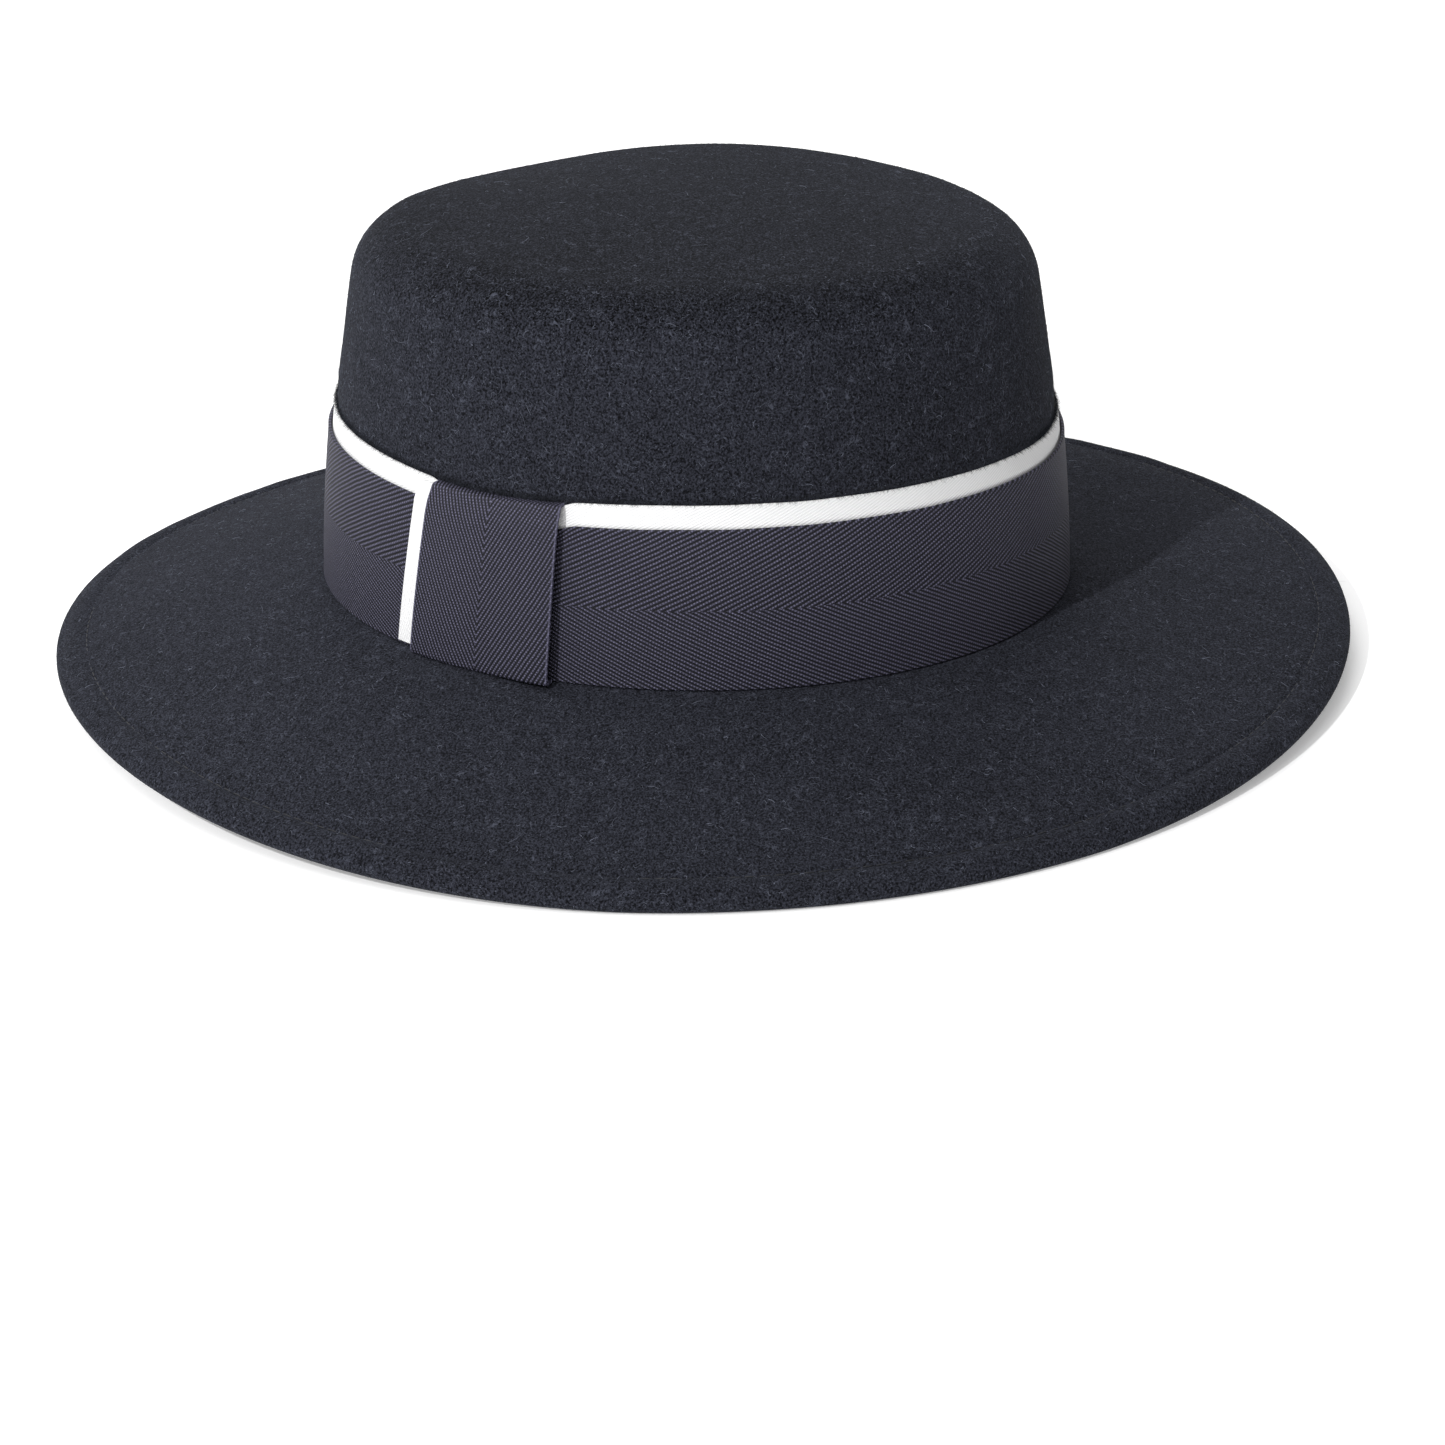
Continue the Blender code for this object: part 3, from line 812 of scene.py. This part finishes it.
def hairs(name, grid, normals, chosen, count, seed, material, *, rings, curl, longest, thick, highest, tones):
    """Longer hairs that curl just over the felt, each of a number of rings, with the range of their tones."""
    draw = np.random.default_rng(seed)
    point, normal, tangent, other = spots(grid, normals, chosen, count, draw)
    turn = draw.random(count) * 2 * math.pi
    curl = draw.normal(0.0, curl, count)
    length = longest * (0.3 + 0.7 * draw.random(count) ** 2)
    lift = highest * (0.2 + 0.8 * draw.random(count) ** 2)
    path = [point - normal * 0.0001]
    for ring in range(1, rings):
        angle = turn + curl * ring / rings
        step = tangent * np.cos(angle)[:, None] + other * np.sin(angle)[:, None]
        path.append(path[-1] + step * (length / (rings - 1))[:, None])
    path = np.array(path)
    arch = np.sin(np.linspace(0.0, math.pi * 0.8, rings))
    path = path + normal[None] * arch[:, None, None] * lift[None, :, None]
    direction = np.gradient(path, axis=0)
    direction /= np.linalg.norm(direction, axis=2, keepdims=True)
    side = np.cross(direction, normal[None])
    side /= np.maximum(np.linalg.norm(side, axis=2, keepdims=True), 1e-9)
    over = np.cross(direction, side)
    thick = thick / 2 * np.linspace(1.0, 0.45, rings)[:, None, None]
    sides = [path + (side * math.cos(corner) + over * math.sin(corner)) * thick
             for corner in np.radians([0, 120, 240])]
    points = np.stack(sides, axis=2).transpose(1, 0, 2, 3).reshape(-1, 3)
    pattern = []
    for ring in range(rings - 1):
        for corner in range(3):
            after = (corner + 1) % 3
            this = ring * 3
            pattern.append((this + corner, this + after, this + 3 + after, this + 3 + corner))
    faces = []
    for hair in range(count):
        base = hair * rings * 3
        faces += [tuple(base + corner for corner in face) for face in pattern]
        faces.append((base + 2, base + 1, base))
        faces.append((base + rings * 3 - 3, base + rings * 3 - 2, base + rings * 3 - 1))
    piece = mesh_piece(name, points.tolist(), faces, material)
    give_tones(piece, np.repeat(tones[0] + (tones[1] - tones[0]) * draw.random(count) ** 1.5, rings * 3))


def make_stitches(name, spread, height, rise, material):
    """A running line of stitches round the brim, each arched and with its ends sunk into the felt."""
    ring = place(np.linspace(0, 2 * math.pi, 2000, endpoint=False), spread, height)
    around = float(np.linalg.norm(ring - np.roll(ring, 1, axis=0), axis=1).sum())
    count = round(around / STITCH_PITCH)
    middle = np.arange(count) * 2 * math.pi / count
    half = STITCH_LENGTH / around * math.pi
    profile = [(-1.0, 0.3), (-0.8, 0.85), (0.0, 1.0), (0.8, 0.85), (1.0, 0.3)]
    sides = 6
    points = []
    for place_on, girth in profile:
        angle = middle + half * place_on
        centre = place(angle, spread, height)
        ahead = place(angle + 0.001, spread, height) - centre
        ahead /= np.linalg.norm(ahead, axis=1, keepdims=True)
        outward = place(angle, spread + 0.001, height) - centre
        outward /= np.linalg.norm(outward, axis=1, keepdims=True)
        up = np.cross(outward, ahead)
        arch = rise * (1 - 0.9 * place_on**2)
        for turn in np.arange(sides) * 2 * math.pi / sides:
            offset = outward * math.cos(turn) + up * math.sin(turn)
            points.append(centre + up * arch + offset * THREAD_RADIUS * girth)
    points = np.stack(points, axis=1)
    each = points.shape[1]
    pattern = [tuple(reversed(range(sides))), tuple(range(each - sides, each))]
    for ring_index in range(len(profile) - 1):
        for side in range(sides):
            after = (side + 1) % sides
            this = ring_index * sides
            pattern.append((this + side, this + after, this + sides + after, this + sides + side))
    faces = [tuple(stitch * each + corner for corner in face)
             for stitch in range(count) for face in pattern]
    piece = mesh_piece(name, points.reshape(-1, 3).tolist(), faces, material)
    turn_outward(piece.data)


def make_floor():
    """A wide white floor that gives a little light of its own, as a lit studio floor does."""
    made = Finish("floor", Roughness=0.9)
    made.shader.inputs["Base Color"].default_value = colour(0.9, 0.9, 0.9)
    made.shader.inputs["Emission Color"].default_value = colour(1.0, 1.0, 1.0)
    made.shader.inputs["Emission Strength"].default_value = 0.3
    mesh = bpy.data.meshes.new("floor")
    corners = [(across * FLOOR_HALF, ahead * FLOOR_HALF, 0)
               for across, ahead in ((-1, -1), (1, -1), (1, 1), (-1, 1))]
    mesh.from_pydata(corners, [], [(0, 1, 2, 3)])
    mesh.materials.append(made.material)
    floor = bpy.data.objects.new("floor", mesh)
    bpy.context.scene.collection.objects.link(floor)


def toward(azimuth_deg, rise_deg):
    """A direction from the hat, at an angle round it and a rise over the floor."""
    azimuth = math.radians(azimuth_deg)
    rise = math.radians(rise_deg)
    return Vector((math.sin(azimuth) * math.cos(rise), -math.cos(azimuth) * math.cos(rise), math.sin(rise)))


def make_lamp(name, azimuth_deg, rise_deg, distance, size, watts):
    """A round soft lamp that faces the hat."""
    data = bpy.data.lights.new(name, "AREA")
    data.shape = "DISK"
    data.size = size
    data.energy = watts
    lamp = bpy.data.objects.new(name, data)
    where = toward(azimuth_deg, rise_deg)
    lamp.location = Vector(VIEW_AIM) + where * distance
    lamp.rotation_euler = where.to_track_quat("Z", "Y").to_euler()
    bpy.context.scene.collection.objects.link(lamp)


def make_light():
    """White surroundings and the lamps."""
    world = bpy.data.worlds.new("studio")
    world.use_nodes = True
    background = world.node_tree.nodes["Background"]
    background.inputs["Color"].default_value = (1.0, 1.0, 1.0, 1.0)
    background.inputs["Strength"].default_value = SKY_STRENGTH
    bpy.context.scene.world = world
    for lamp in LAMPS:
        make_lamp(*lamp)
    bpy.context.scene.view_settings.view_transform = "Standard"


def make_camera():
    """The photograph's view, a little off the middle of the hat and slightly rolled."""
    away = toward(VIEW_DEG, VIEW_RISE_DEG)
    level = Vector((math.cos(math.radians(VIEW_DEG)), math.sin(math.radians(VIEW_DEG)), 0.0))
    upright = away.cross(level)
    roll = math.radians(VIEW_ROLL_DEG)
    right = level * math.cos(roll) + upright * math.sin(roll)
    up = upright * math.cos(roll) - level * math.sin(roll)
    eye = Vector(VIEW_AIM) + away * VIEW_DISTANCE + right * VIEW_RIGHT + up * VIEW_UP
    data = bpy.data.cameras.new("camera")
    data.sensor_width = SENSOR_MM
    data.lens = LENS_MM
    data.clip_start = 0.05
    camera = bpy.data.objects.new("camera", data)
    camera.matrix_world = Matrix.Translation(eye) @ Matrix((right, up, away)).transposed().to_4x4()
    bpy.context.scene.collection.objects.link(camera)
    bpy.context.scene.camera = camera


def grow_nap(grid, normals, rows, faces, material):
    """All fibres of the felt: thin on the flat tip, none on the wall behind the ribbons."""
    spread = rows[:, 0]
    height = rows[:, 1]
    on_tip = faces == "tip"
    over_ribbon = (faces == "wall") & (height > WHITE_WIDTH + 0.0004)
    on_crown = np.isin(faces, ["tip", "shoulder"]) | over_ribbon
    on_brim = (faces == "brim") & (spread > 0.003)
    on_edge = faces == "edge"
    under = np.isin(faces, ["below", "inside"])
    crown_density = np.where(on_tip, 0.15, 1.0) * on_crown
    hair_density = (np.where(on_tip, 0.5, 1.0) * (on_crown | on_brim))[:, None]
    grow("nap_of_crown", grid, normals, crown_density[:, None], CROWN_FIBRES, 11, material)
    grow("nap_of_brim", grid, normals, (on_brim | on_edge)[:, None] * 1.0, BRIM_FIBRES, 12, material)
    grow("nap_inside", grid, normals, under[:, None] * 1.0, INSIDE_FIBRES, 13, material)
    hairs("loose_hairs", grid, normals, hair_density, LOOSE_HAIRS, 14, material, rings=9, curl=2.2,
          longest=0.006, thick=0.000064, highest=0.0013, tones=(0.25, 0.85))
    hairs("curled_fibres", grid, normals, hair_density, CURLED_FIBRES, 16, material, rings=6, curl=3.2,
          longest=0.0034, thick=0.0001, highest=0.0003, tones=(0.2, 0.9))
    fringe("nap_over_ribbon", RIBBON_EDGE_FIBRES, 15, material)


def main():
    nap = nap_finish()
    navy = navy_finish("navy_ribbon", BAND_PITCHES, NAVY_WIDTH)
    knot = navy_finish("navy_knot", KNOT_PITCHES, TAB_WIDTH / 2 - 0.0005)
    white = white_finish()
    thread = thread_finish()
    grid, normals, rows, faces = make_felt(felt_finish())
    make_band("white_ribbon_band", "white_band", CLEARANCE, WHITE_THICKNESS, WHITE_WIDTH, white)
    make_band("navy_ribbon_band", "navy_band", NAVY_INSIDE, NAVY_THICKNESS, NAVY_WIDTH, navy)
    make_knot(knot, white)
    grow_nap(grid, normals, rows, faces, nap)
    line = BRIM_WIDTH - STITCH_LINE
    make_stitches("hem_stitches", line, float(brim_top(line)) - GROOVE_DEPTH, STITCH_ARCH, thread)
    make_stitches("hem_stitches_below", line, float(brim_top(line)) - EDGE_THICKNESS, -STITCH_ARCH, thread)
    make_floor()
    make_light()
    make_camera()


main()
